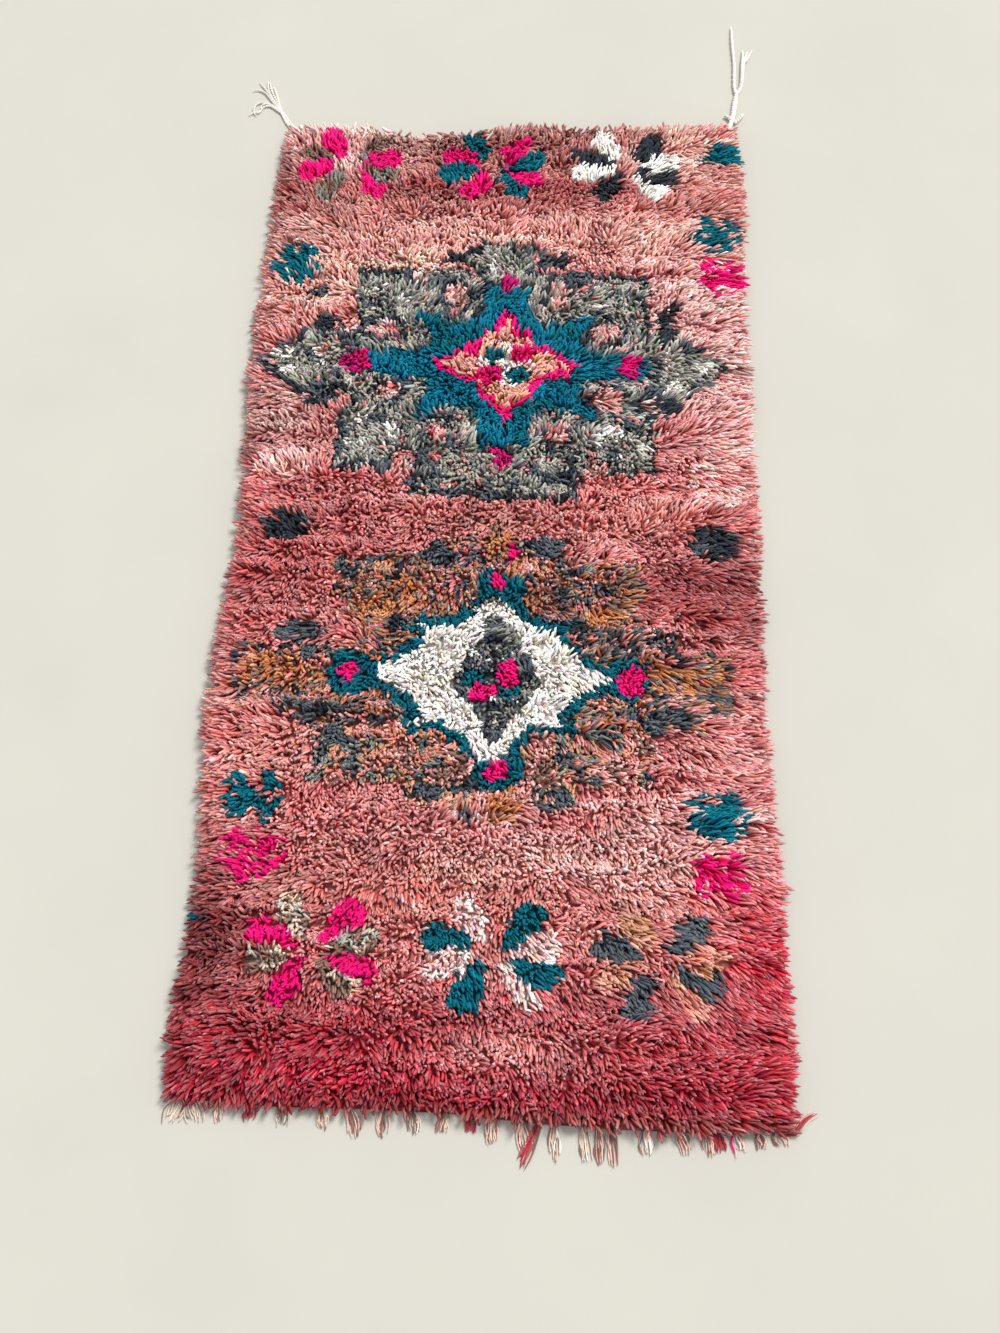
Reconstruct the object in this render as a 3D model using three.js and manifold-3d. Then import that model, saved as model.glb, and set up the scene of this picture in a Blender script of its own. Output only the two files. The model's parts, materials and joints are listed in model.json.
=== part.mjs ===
// Hand-knotted shag pile rug, lying flat. Millimetres, +Z up, underside at z = 0.
// Its length runs along +Y, from the fringed near end to the far end with a tassel at each corner.
import * as THREE from 'three';
import { mergeVertices } from 'three/addons/utils/BufferGeometryUtils.js';
import Module from 'manifold-3d';

const wasm = await Module();
wasm.setup();
const { clamp, lerp, smoothstep, seededRandom } = THREE.MathUtils;

// Pile slab
const PILE_HEIGHT = 27;
const EDGE_HEIGHT = 16;
const EDGE_ROUNDING_CELLS = 1.6;
const LUMP_HEIGHT = 2.4;
const LUMP_WAVES = { rows: 14, clumps: 23, swirlAcross: 83, swirlAlong: 131, swirl: 3 };
const CELLS_ACROSS = 20;
const CELLS_ALONG = 42;

// Rim locks
const LOCK_SPACING = 44;
const LOCK_REACH = 16;
const LOCK_REACH_SPREAD = 0.45;
const LOCK_ROOT_DEPTH = 20;
const LOCK_LEAN = 14;
const LOCK_ARCH = 2;
const LOCK_JITTER = 0.4;
const LOCK_STEPS = 2;
const LOCK_ROOT = { width: 34, height: 11, low: 5 };
const LOCK_TIP = { width: 11, height: 5, low: 2 };
const LOCK_CLEARANCE = 9;
const CORNER_LENGTH = 90;
const LOCK_SEED = 11;

// Fringe and tassels, lying on the floor
const PART_GAP = 0.3;
const STRIP_WIDTH = 9;
const STRIP_HEIGHT = 4.5;
const STRIP_END = 0.015;
const BUNDLE_STRANDS = 3;
const BUNDLE_STEPS = 2;
const BUNDLE_BEND = 0.35;
const OUTER_STRAND_SHORTER = 0.12;
const STRAND_ROOT = { width: 4.2, height: 4 };
const STRAND_TIP = { width: 1.8, height: 2 };
const STEM = { width: 11, height: 6 };
const TASSEL_STEPS = 7;
const CORD = { width: 6, height: 5, swell: 1.1, turn: 30 };

// Reach of the pile tips on both sides, at stations along the length, from the rug's middle.
const SIDES = [
  { y: -1060, left: -533, right: 526 },
  { y: -950, left: -539, right: 533 },
  { y: -800, left: -531, right: 534 },
  { y: -650, left: -517, right: 527 },
  { y: -500, left: -528, right: 519 },
  { y: -300, left: -537, right: 509 },
  { y: -100, left: -522, right: 510 },
  { y: 100, left: -512, right: 510 },
  { y: 300, left: -522, right: 506 },
  { y: 500, left: -527, right: 505 },
  { y: 700, left: -520, right: 502 },
  { y: 900, left: -512, right: 510 },
  { y: 1050, left: -500, right: 499 },
];

// Reach of the pile tips at both ends, at stations across the width.
const ENDS = [
  { x: -500, near: -1048, far: 1042 },
  { x: -350, near: -1056, far: 1041 },
  { x: -200, near: -1055, far: 1037 },
  { x: -50, near: -1058, far: 1044 },
  { x: 100, near: -1070, far: 1054 },
  { x: 250, near: -1075, far: 1063 },
  { x: 400, near: -1077, far: 1070 },
  { x: 500, near: -1072, far: 1085 },
];

// Warp bundles of the near fringe: root across the width, tip beside it, length and fan of the strands.
const BUNDLES = [
  { x: -500, lean: -6, reach: 31, fan: 22 },
  { x: -478, lean: 8, reach: 29, fan: 20 },
  { x: -434, lean: 2, reach: 27, fan: 9 },
  { x: -380, lean: -3, reach: 20, fan: 9 },
  { x: -322, lean: -4, reach: 26, fan: 12 },
  { x: -263, lean: 3, reach: 30, fan: 12 },
  { x: -216, lean: 10, reach: 41, fan: 10 },
  { x: -158, lean: 3, reach: 38, fan: 13 },
  { x: -112, lean: 3, reach: 33, fan: 14 },
  { x: -59, lean: -6, reach: 26, fan: 12 },
  { x: -15, lean: 4, reach: 22, fan: 10 },
  { x: 17, lean: 4, reach: 38, fan: 14 },
  { x: 72, lean: 10, reach: 44, fan: 16 },
  { x: 100, lean: -26, reach: 68, fan: 6 },
  { x: 125, lean: 3, reach: 55, fan: 11 },
  { x: 172, lean: 6, reach: 52, fan: 12 },
  { x: 196, lean: 4, reach: 57, fan: 7 },
  { x: 216, lean: 6, reach: 54, fan: 9 },
  { x: 274, lean: 4, reach: 32, fan: 13 },
  { x: 330, lean: 10, reach: 33, fan: 11 },
  { x: 372, lean: 6, reach: 31, fan: 12 },
  { x: 392, lean: 7, reach: 23, fan: 7 },
  { x: 424, lean: 4, reach: 29, fan: 17 },
  { x: 462, lean: 5, reach: 19, fan: 9 },
  { x: 492, lean: 8, reach: 17, fan: 14 },
];

// The last warp bundle turns round the near right corner and comes out beside it.
const CORNER_BUNDLE = [
  { x: 497, y: -1061 },
  { x: 522, y: -1056 },
  { x: 541, y: -1035 },
  { x: 560, y: -1022 },
];

// Tassel routes in plan, each from its root to its tip.
const LEFT_STRIP = { from: 0.004, to: 0.034 };
const LEFT_STEM = { rootX: -472, rest: [{ x: -500, y: 1058 }, { x: -519, y: 1100 }] };
const LEFT_STRANDS = [
  [{ x: -514, y: 1088 }, { x: -521, y: 1130 }, { x: -541, y: 1172 }],
  [{ x: -516, y: 1090 }, { x: -530, y: 1134 }, { x: -551, y: 1163 }, { x: -552, y: 1184 }],
  [{ x: -519, y: 1090 }, { x: -541, y: 1132 }, { x: -566, y: 1158 }, { x: -580, y: 1184 }],
  [{ x: -519, y: 1088 }, { x: -548, y: 1122 }, { x: -570, y: 1146 }, { x: -590, y: 1152 }],
  [{ x: -518, y: 1084 }, { x: -548, y: 1108 }, { x: -576, y: 1124 }, { x: -589, y: 1104 }],
  [{ x: -516, y: 1082 }, { x: -541, y: 1096 }, { x: -560, y: 1098 }, { x: -572, y: 1080 }],
];
const RIGHT_STRIP = { from: 0.964, to: 0.996 };
const RIGHT_STEM = { rootX: 476, rest: [{ x: 487, y: 1106 }, { x: 495, y: 1176 }] };
const LONG_CORD = [
  { x: 494, y: 1164 }, { x: 491, y: 1200 }, { x: 492, y: 1262 }, { x: 490, y: 1320 }, { x: 489, y: 1378 },
];
const SHORT_CORD = [{ x: 497, y: 1164 }, { x: 507, y: 1200 }, { x: 513, y: 1266 }];
const RIGHT_STRANDS = [
  [{ x: 512, y: 1256 }, { x: 513, y: 1284 }, { x: 514, y: 1308 }],
  [{ x: 513, y: 1256 }, { x: 520, y: 1276 }, { x: 534, y: 1306 }],
  [{ x: 486, y: 1092 }, { x: 476, y: 1108 }, { x: 465, y: 1112 }],
  [{ x: 489, y: 1092 }, { x: 501, y: 1106 }, { x: 508, y: 1118 }],
];

// The two ends of the slab: the outline's v there and the way out along Y.
const NEAR_END = { v: 0, outward: -1 };
const FAR_END = { v: 1, outward: 1 };

const COLOURS = { pile: '#c4736c', fringe: '#c08a7c', cotton: '#ece4d6' };

// Reads one column of a table between its rows; key is the column that places the rows.
function column(table, key, name, at) {
  const above = table.findIndex((row) => row[key] >= at);
  if (above === 0) return table[0][name];
  if (above < 0) return table[table.length - 1][name];
  const [from, to] = [table[above - 1], table[above]];
  return lerp(from[name], to[name], (at - from[key]) / (to[key] - from[key]));
}

// A point of the slab's outline: u runs across from 0 to 1, v along from 0 to 1.
function slabPoint(u, v) {
  const x = lerp(SIDES[0].left, SIDES[0].right, u);
  const near = column(ENDS, 'x', 'near', x) + LOCK_REACH;
  const far = column(ENDS, 'x', 'far', x) - LOCK_REACH;
  const y = lerp(near, far, v);
  const left = column(SIDES, 'y', 'left', y) + LOCK_REACH;
  const right = column(SIDES, 'y', 'right', y) - LOCK_REACH;
  return new THREE.Vector2(lerp(left, right, u), y);
}

function lump(x, y) {
  const { rows, clumps, swirlAcross, swirlAlong, swirl } = LUMP_WAVES;
  const row = Math.sin(y / rows + swirl * Math.sin(x / swirlAcross));
  const clump = Math.sin(x / clumps + swirl * Math.cos(y / swirlAlong));
  return LUMP_HEIGHT * (row + clump);
}

function pileHeight(u, v, point) {
  const across = Math.min(u, 1 - u) * CELLS_ACROSS;
  const along = Math.min(v, 1 - v) * CELLS_ALONG;
  const rise = smoothstep(Math.min(across, along), 0, EDGE_ROUNDING_CELLS);
  return lerp(EDGE_HEIGHT, PILE_HEIGHT + lump(point.x, point.y), rise);
}

// Moves each point of a box with unit sides by a rule and closes it as a solid.
// The rule takes u across, v along and w up, each from 0 to 1.
function shaped(segments, rule) {
  const box = new THREE.BoxGeometry(1, 1, 1, segments.across, segments.along, 1);
  box.deleteAttribute('normal');
  box.deleteAttribute('uv');
  const whole = mergeVertices(box);
  const points = whole.attributes.position;
  for (let k = 0; k < points.count; k++) {
    const place = rule(points.getX(k) + 0.5, points.getY(k) + 0.5, points.getZ(k) + 0.5);
    points.setXYZ(k, place.x, place.y, place.z);
  }
  const vertProperties = new Float32Array(points.array);
  const triVerts = new Uint32Array(whole.index.array);
  return new wasm.Manifold(new wasm.Mesh({ numProp: 3, vertProperties, triVerts }));
}

// A bar of four sides along a path; the path is its underside and size gives its section on the way.
function bar(path, steps, size) {
  return shaped({ across: 1, along: steps }, (u, v, w) => {
    const middle = path.getPoint(v);
    const ahead = path.getTangent(v);
    const { width, height } = size(v);
    const side = (u - 0.5) * width;
    return { x: middle.x + side * ahead.y, y: middle.y - side * ahead.x, z: middle.z + w * height };
  });
}

function taper(from, to) {
  return (v) => ({ width: lerp(from.width, to.width, v), height: lerp(from.height, to.height, v) });
}

function floorPath(points) {
  return new THREE.CatmullRomCurve3(points.map((point) => new THREE.Vector3(point.x, point.y, 0)));
}

function floorStrand(points, steps, size) {
  return bar(floorPath(points), steps, size);
}

function united(solids) {
  return solids.reduce((whole, next) => whole.add(next));
}

// One lock from inside the slab's rim to its tip; locks over the fringe and tassels end higher.
function rimLock(edge, outward, lean, nearCorner) {
  const reach = LOCK_REACH * (1 + LOCK_REACH_SPREAD * (2 * seededRandom() - 1));
  const sideways = new THREE.Vector2(outward.y, -outward.x).multiplyScalar(lean);
  const root = edge.clone().addScaledVector(outward, -LOCK_ROOT_DEPTH);
  const tip = edge.clone().addScaledVector(outward, reach).add(sideways);
  const tipLow = nearCorner ? LOCK_CLEARANCE : LOCK_TIP.low;
  const rootLow = nearCorner ? LOCK_CLEARANCE : LOCK_ROOT.low;
  const rootHeight = LOCK_ROOT.low + LOCK_ROOT.height - rootLow;
  const path = new THREE.QuadraticBezierCurve3(
    new THREE.Vector3(root.x, root.y, rootLow),
    new THREE.Vector3(edge.x, edge.y, rootLow + LOCK_ARCH),
    new THREE.Vector3(tip.x, tip.y, tipLow),
  );
  return bar(path, LOCK_STEPS, taper({ width: LOCK_ROOT.width, height: rootHeight }, LOCK_TIP));
}

function rimLocks() {
  seededRandom(LOCK_SEED);
  const sideCount = Math.round((ENDS[0].far - ENDS[0].near) / LOCK_SPACING);
  const endCount = Math.round((SIDES[0].right - SIDES[0].left) / LOCK_SPACING);
  const rims = [
    { count: sideCount, outward: [-1, 0], at: (t) => slabPoint(0, t) },
    { count: sideCount, outward: [1, 0], at: (t) => slabPoint(1, t) },
    { count: endCount, outward: [0, -1], at: (t) => slabPoint(t, 0) },
    { count: endCount, outward: [0, 1], at: (t) => slabPoint(t, 1) },
  ];
  const locks = [];
  for (const rim of rims) {
    for (let k = 0; k < rim.count; k++) {
      const shift = LOCK_JITTER * (seededRandom() - 0.5);
      const edge = rim.at((k + 0.5 + shift) / rim.count);
      const outward = new THREE.Vector2(...rim.outward);
      const lean = LOCK_LEAN * (2 * seededRandom() - 1);
      const fromEnds = Math.min(edge.y - ENDS[0].near, ENDS[0].far - edge.y);
      locks.push(rimLock(edge, outward, lean, fromEnds < CORNER_LENGTH));
    }
  }
  return locks;
}

function pileRug() {
  const slab = shaped({ across: CELLS_ACROSS, along: CELLS_ALONG }, (u, v, w) => {
    const point = slabPoint(u, v);
    return { x: point.x, y: point.y, z: w * pileHeight(u, v, point) };
  });
  return united([slab, ...rimLocks()]);
}

// A place beside one end of the slab, at a distance from the straight facet between two cell corners.
function besideEnd(end, x, distance) {
  const corners = Array.from({ length: CELLS_ACROSS + 1 }, (_, k) => slabPoint(k / CELLS_ACROSS, end.v));
  return { x, y: column(corners, 'x', 'y', x) + end.outward * distance };
}

// A narrow strip along one end of the slab, for warps to root in.
function edgeStrip(end, stations) {
  return shaped({ across: stations.length - 1, along: 1 }, (u, v, w) => {
    const station = stations[Math.round(u * (stations.length - 1))];
    const out = end.outward > 0 ? v : 1 - v;
    const place = besideEnd(end, slabPoint(station, end.v).x, PART_GAP + out * STRIP_WIDTH);
    return { ...place, z: w * STRIP_HEIGHT };
  });
}

function stripRoot(end, x) {
  return besideEnd(end, x, PART_GAP + STRIP_WIDTH / 2);
}

function warpBundle({ x, lean, reach, fan }) {
  const rootY = stripRoot(NEAR_END, x).y;
  return Array.from({ length: BUNDLE_STRANDS }, (_, k) => {
    const spread = k - (BUNDLE_STRANDS - 1) / 2;
    const rootX = x + spread * STRAND_ROOT.width;
    const tipX = rootX + lean + spread * fan / 2;
    const length = reach * (1 - OUTER_STRAND_SHORTER * Math.abs(spread));
    const points = [
      { x: rootX, y: rootY },
      { x: lerp(rootX, tipX, BUNDLE_BEND), y: rootY - length / 2 },
      { x: tipX, y: rootY - length },
    ];
    return floorStrand(points, BUNDLE_STEPS, taper(STRAND_ROOT, STRAND_TIP));
  });
}

function nearFringe() {
  const corner = floorStrand(CORNER_BUNDLE, TASSEL_STEPS, taper(STRAND_ROOT, STRAND_TIP));
  const stations = Array.from({ length: CELLS_ACROSS + 1 }, (_, k) => {
    return clamp(k / CELLS_ACROSS, STRIP_END, 1 - STRIP_END);
  });
  return united([edgeStrip(NEAR_END, stations), ...BUNDLES.flatMap(warpBundle), corner]);
}

function tasselStrand(points) {
  return floorStrand(points, TASSEL_STEPS, taper(STRAND_ROOT, STRAND_TIP));
}

// A two-ply cord: its width swells and pinches as the plies turn over each other.
function twistedCord(points) {
  const path = floorPath(points);
  const turns = Math.round(path.getLength() / CORD.turn);
  const size = (v) => ({ width: CORD.width + CORD.swell * Math.cos(4 * Math.PI * turns * v), height: CORD.height });
  return bar(path, 4 * turns, size);
}

// The strip at a far corner with the tassel's stem rooted in it.
function tasselHead({ from, to }, { rootX, rest }) {
  const stem = floorStrand([stripRoot(FAR_END, rootX), ...rest], TASSEL_STEPS, taper(STEM, STEM));
  return edgeStrip(FAR_END, [from, to]).add(stem);
}

function leftTassel() {
  return united([tasselHead(LEFT_STRIP, LEFT_STEM), ...LEFT_STRANDS.map(tasselStrand)]);
}

function rightTassel() {
  const cords = [LONG_CORD, SHORT_CORD].map(twistedCord);
  return united([tasselHead(RIGHT_STRIP, RIGHT_STEM), ...cords, ...RIGHT_STRANDS.map(tasselStrand)]);
}

function mesh(name, solid, colour) {
  const { numProp, vertProperties, triVerts } = solid.getMesh();
  const geometry = new THREE.BufferGeometry();
  geometry.setAttribute('position', new THREE.BufferAttribute(new Float32Array(vertProperties), numProp));
  geometry.setIndex(new THREE.BufferAttribute(new Uint32Array(triVerts), 1));
  geometry.computeVertexNormals();
  const material = new THREE.MeshStandardMaterial({ color: colour, roughness: 0.95, metalness: 0 });
  const piece = new THREE.Mesh(geometry, material);
  piece.name = name;
  return piece;
}

const rug = new THREE.Group();
rug.add(mesh('pile_rug', pileRug(), COLOURS.pile));
rug.add(mesh('near_fringe', nearFringe(), COLOURS.fringe));
rug.add(mesh('far_left_tassel', leftTassel(), COLOURS.cotton));
rug.add(mesh('far_right_tassel', rightTassel(), COLOURS.cotton));

// The origin is under the middle of the whole rug, tassels and fringe included.
const middle = new THREE.Box3().setFromObject(rug).getCenter(new THREE.Vector3());
rug.position.set(-middle.x, -middle.y, 0);

export default rug;
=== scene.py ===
"""Dresses the packed boujad rug: wool pile in faded dyes, woven ground, warp fringe and tassels."""
import json
import math
from collections import namedtuple

import bmesh
import bpy
import numpy as np
from bpy.props import FloatProperty, FloatVectorProperty, IntProperty, PointerProperty
from bpy.types import Operator, Panel, PropertyGroup
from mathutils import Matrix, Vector

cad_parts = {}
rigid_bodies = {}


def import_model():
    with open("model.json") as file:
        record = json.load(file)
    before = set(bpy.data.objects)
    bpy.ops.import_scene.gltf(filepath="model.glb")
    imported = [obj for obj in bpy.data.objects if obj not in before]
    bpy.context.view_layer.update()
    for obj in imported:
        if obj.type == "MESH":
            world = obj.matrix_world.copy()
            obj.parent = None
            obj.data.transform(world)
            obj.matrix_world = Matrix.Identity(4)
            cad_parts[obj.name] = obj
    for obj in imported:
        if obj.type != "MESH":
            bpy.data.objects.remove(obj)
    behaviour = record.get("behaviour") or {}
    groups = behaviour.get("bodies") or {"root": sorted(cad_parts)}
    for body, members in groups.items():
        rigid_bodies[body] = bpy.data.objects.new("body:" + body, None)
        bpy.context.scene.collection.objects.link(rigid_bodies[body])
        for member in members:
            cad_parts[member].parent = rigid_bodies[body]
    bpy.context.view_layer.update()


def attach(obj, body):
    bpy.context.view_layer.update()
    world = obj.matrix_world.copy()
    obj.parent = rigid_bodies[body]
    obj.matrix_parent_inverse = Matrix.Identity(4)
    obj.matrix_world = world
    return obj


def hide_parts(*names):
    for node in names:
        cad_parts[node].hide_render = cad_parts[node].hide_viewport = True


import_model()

bl_info = {
    "name": "Boujad Rug",
    "version": (1, 0, 0),
    "blender": (4, 5, 0),
    "location": "View3D > Sidebar > Rug",
    "description": "Knots a faded shag rug with medallions, fringe and corner tassels",
    "category": "Add Mesh",
}

MM = 0.001
UPWARDS = np.array([0.0, 0.0, 1.0])


def table(kind, rows):
    """Rows of a table with named columns."""
    return [kind(*row) for row in rows]


# The rug's own middle in the shared frame, in millimetres; all places below are measured from it.
RUG_MIDDLE = (14.9, -125.4)

# Reach of the pile tips on both sides, at stations along the length.
Side = namedtuple("Side", "y left right")
SIDES = table(Side, [
    (-1060, -533, 526), (-950, -539, 533), (-800, -531, 534), (-650, -517, 527), (-500, -528, 519),
    (-300, -537, 509), (-100, -522, 510), (100, -512, 510), (300, -522, 506), (500, -527, 505),
    (700, -520, 502), (900, -512, 510), (1050, -500, 499),
])

# Reach of the pile tips at both ends, at stations across the width.
End = namedtuple("End", "x near far")
ENDS = table(End, [
    (-500, -1048, 1042), (-350, -1056, 1041), (-200, -1055, 1037), (-50, -1058, 1044),
    (100, -1070, 1054), (250, -1075, 1063), (400, -1077, 1070), (500, -1072, 1085),
])

# Dyes of the wool as red, green and blue out of 255.
DYES = {
    "rose": (210, 124, 120),
    "salmon": (220, 146, 130),
    "peach": (228, 172, 156),
    "pale_rose": (240, 192, 184),
    "brown_rose": (158, 94, 86),
    "brick": (176, 76, 76),
    "raspberry": (166, 8, 48),
    "maroon": (122, 44, 48),
    "crimson": (204, 12, 62),
    "teal": (0, 106, 120),
    "deep_teal": (0, 88, 106),
    "blue_teal": (0, 116, 140),
    "hot_pink": (240, 6, 126),
    "magenta": (184, 18, 112),
    "charcoal": (52, 56, 62),
    "slate": (92, 98, 104),
    "grey": (142, 140, 133),
    "ash": (184, 180, 170),
    "cream": (255, 247, 239),
    "cotton": (246, 241, 232),
    "blush": (246, 206, 202),
    "tan": (212, 158, 124),
    "gold": (210, 144, 92),
    "rust": (192, 122, 82),
    "taupe": (142, 112, 100),
    "apricot": (240, 182, 150),
    "ecru": (226, 200, 180),
}

# Mottled mixtures of the medallions' surrounds.
GREYS = ("slate", "grey", "ash", "grey", "ash")
DARK_GREYS = ("charcoal", "charcoal", "slate")
BROWNS = ("charcoal", "slate", "taupe", "rust", "grey", "brown_rose", "tan", "slate")
PALE_BROWNS = ("slate", "grey", "tan", "salmon", "pale_rose", "taupe")
RUSTS = ("rust", "tan", "gold", "rust", "taupe")
ISLAND_GREYS = ("blush", "ash", "grey", "taupe", "pale_rose")
PALE_GREYS = ("ash", "grey", "cream")
INNER_GREYS = ("slate", "grey", "slate", "charcoal", "grey")
NAVY = ("charcoal", "charcoal", "charcoal", "slate")

# Soft patches where the field's dye lots change.
Patch = namedtuple("Patch", "dye x y half_width half_length strength")
FIELD_PATCHES = table(Patch, [
    ("brown_rose", 0, 1000, 620, 110, 0.95), ("pale_rose", -330, 1035, 190, 40, 0.70),
    ("pale_rose", -400, 950, 120, 80, 0.75), ("peach", 430, 940, 160, 190, 0.95),
    ("brown_rose", -450, 840, 150, 130, 0.80), ("brick", 0, 860, 420, 50, 0.95),
    ("maroon", -110, 855, 240, 36, 0.35), ("peach", -250, 720, 190, 90, 0.90),
    ("pale_rose", -250, 720, 190, 90, 0.15), ("peach", 120, 760, 360, 70, 0.60),
    ("peach", -430, 590, 120, 100, 0.75), ("pale_rose", 400, 600, 130, 90, 0.85),
    ("pale_rose", 430, 430, 140, 150, 0.75), ("taupe", -440, 300, 120, 120, 0.50),
    ("pale_rose", -440, 300, 130, 130, 0.20), ("pale_rose", 430, 290, 130, 100, 0.40),
    ("brick", -80, 120, 440, 50, 0.12), ("brown_rose", -40, 60, 220, 50, 0.50),
    ("salmon", 270, 95, 160, 50, 0.50), ("brick", -440, -50, 170, 110, 0.75),
    ("brick", 400, -90, 190, 120, 0.95), ("maroon", 420, -70, 150, 80, 0.50),
    ("salmon", -450, -420, 130, 140, 0.30), ("pale_rose", 420, -430, 140, 120, 0.15),
    ("brown_rose", -220, -610, 240, 80, 0.20), ("salmon", 0, -685, 300, 55, 0.75),
    ("pale_rose", 220, -590, 260, 90, 0.55), ("maroon", -510, -790, 130, 190, 0.95),
    ("crimson", 490, -800, 90, 170, 0.95), ("raspberry", 0, -930, 640, 80, 0.90),
    ("raspberry", 0, -1030, 900, 110, 1.20), ("rose", 60, -940, 160, 48, 0.85),
    ("crimson", 400, -960, 130, 70, 0.55), ("crimson", -250, -990, 130, 60, 0.40),
    ("raspberry", -350, -950, 200, 60, 0.50), ("brown_rose", 0, -1062, 900, 24, 0.75),
])

# Streaks in the soft patches, and uneven lots: their size in millimetres, their stretch across the rug,
# how far they deepen the dye and how far they fade it.
STREAK = 22
STREAK_STRETCH = 9
STREAK_DEPTH = 0.6
Lot = namedtuple("Lot", "size stretch deepening fading")
DYE_LOTS = table(Lot, [(13, 12, 0.9, 0.5), (30, 3, 0.5, 0.5), (75, 2, 0.5, 0.4)])
LOT_STEEPNESS = 2.4
LOT_CALM = 0.1
DEEPENING = np.array([0.08, 0.34, 0.28])
FADING = np.array([0.25, 0.62, 0.60])
KNOT_FADING = 0.9

# Knots worn to salmon, from a place on towards the fringe.
WORN = 0.10
WORN_FROM = -680
WORN_LENGTH = 200

# Ragged edges of the motifs, and the clumps in which their knots take a dye or stay bare.
RAGGEDNESS = 16
RAGGED_GRAIN = 16
DYE_CLUMP = 21
DYE_STRAY = 0.15
BARE_CLUMP = 12
BARE_STRAY = 0.4
CLUMP_STRETCH = 1.5

# First medallion: a teal star in a grey stepped ground, with a peach star and a pinwheel inside.
GREY_MEDALLION = (0, 425)
Row = namedtuple("Row", "low high left right")
GREY_ROWS = table(Row, [
    (205, 306, -60, 60), (238, 290, -88, 84), (246, 276, -128, 122), (-247, 230, -314, 292),
    (-250, -108, -334, 304), (-312, -235, -176, 146),
])
GREY_ARMS = [(0, 78), (330, 78), (340, 112), (358, 112), (390, 74), (428, 50), (482, 0)]
ARMS_MIDDLE = -28
EDGE_WIDTH = 13
EDGE_SHIFTS = [(EDGE_WIDTH, 0), (-EDGE_WIDTH, 0), (0, EDGE_WIDTH), (0, -EDGE_WIDTH)]
Spot = namedtuple("Spot", "x y half_width half_length")
GREY_ISLANDS = table(Spot, [
    (-109, 162, 26, 36), (105, 178, 22, 38), (-250, 82, 34, 22), (-236, -70, 24, 22),
    (-127, -185, 18, 46), (110, -160, 20, 32), (206, 82, 28, 25), (213, -78, 30, 26),
    (-176, 226, 22, 28), (-200, -232, 22, 28), (172, -238, 30, 30), (-318, 92, 14, 24),
    (-322, -92, 18, 20), (296, -92, 18, 20),
])
GREY_DARKS = table(Spot, [
    (-122, 262, 24, 18), (112, 265, 22, 17), (-375, 95, 26, 22), (328, 100, 18, 36),
    (-370, -76, 36, 24), (328, -90, 32, 24), (-164, -270, 28, 20), (130, -262, 28, 20),
    (-392, 168, 18, 14), (345, 150, 17, 17),
])
GREY_LIGHTS = table(Spot, [
    (0, 262, 50, 46), (-240, 175, 60, 40), (230, 172, 56, 44), (-262, -182, 60, 50),
    (226, -190, 66, 48), (-425, 2, 60, 34), (352, 4, 60, 60),
])
TEAL_STAR = [
    (0, 190), (48, 190), (46, 140), (62, 112), (100, 98), (186, 128),
    (166, 92), (150, 60), (164, 36), (215, 32), (284, 28), (300, 0),
]
STAR_RIM = 0.92
PEACH_STAR = [(0, 138), (22, 104), (28, 92), (52, 78), (64, 50), (98, 36), (104, 28), (150, 10), (150, 0)]
PEACH_HEART = [(0, 118), (12, 86), (44, 68), (54, 36), (92, 20), (130, 0)]
STAR_EYES = table(Spot, [(0, 200, 17, 20), (-2, -222, 18, 24), (-308, -4, 34, 24), (255, 2, 28, 28)])
PINWHEEL_PINK = table(Spot, [(30, 27, 27, 22), (-30, -25, 28, 22)])
PINWHEEL_TEAL = table(Spot, [(-28, 24, 26, 20), (27, -23, 27, 20)])
PINWHEEL_PALE = Spot(0, 2, 62, 52)

# Second medallion: a cream lozenge with a toothed teal edge in a brown ground, dark inside.
CREAM_MEDALLION = (3, -265)
BROWN_ROWS = table(Row, [
    (215, 292, -130, 125), (158, 246, -318, 282), (110, 158, -292, 262), (52, 110, -270, 272),
    (-60, 58, -492, 440), (-96, -56, -402, 385),
])
PALE_ROWS = table(Row, [(-212, -96, -334, 298), (-250, -208, -160, 150), (-282, -240, -60, 70)])
BROWN_DARKS = table(Spot, [
    (-118, 247, 30, 28), (88, 268, 32, 22), (-370, 86, 50, 26), (312, 80, 32, 24),
    (-352, -70, 52, 20), (318, -75, 62, 20), (-125, -226, 36, 18), (108, -236, 34, 24),
    (-34, -211, 46, 16),
])
BROWN_RUSTS = table(Spot, [
    (-4, 282, 26, 46), (30, 222, 20, 24), (-176, 178, 22, 30), (232, 196, 34, 22),
    (-210, 138, 60, 18), (196, 130, 36, 20), (-410, 2, 70, 34), (355, 6, 78, 34), (22, -252, 28, 34),
])
CREAM_LOZENGE = [
    (0, 168), (16, 164), (44, 124), (70, 102), (104, 94), (140, 102),
    (124, 76), (142, 56), (164, 34), (214, 8), (218, 0),
]
LOZENGE_GREY = Spot(2, 140, 40, 34)
TEETH_WIDTH = 9
TEETH_SPREAD = 18
TEETH_GRAIN = 15
TEETH_WAYS = [(1, 0), (0.7, 0.7), (0, 1), (-0.7, 0.7), (-1, 0), (-0.7, -0.7), (0, -1), (0.7, -0.7)]
LOZENGE_MIDDLE = (-9, 2)
DARK_LOZENGE = [(0, 128), (24, 96), (52, 56), (76, 16), (76, 0)]
TEETH_KNOBS = table(Spot, [(4, 190, 46, 30), (6, -180, 50, 34), (-272, 2, 44, 46), (246, 2, 44, 44)])
TEETH_EYES = table(Spot, [(1, 200, 18, 18), (5, -184, 21, 21), (-272, 2, 19, 21), (248, 1, 26, 29)])
DARK_PINKS = table(Spot, [(21, 6, 21, 28), (-25, -29, 28, 20)])
DARK_TEALS = table(Spot, [(-40, -2, 21, 16), (22, -31, 18, 14)])
PINK_SPOT = Spot(24, 262, 17, 22)

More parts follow.
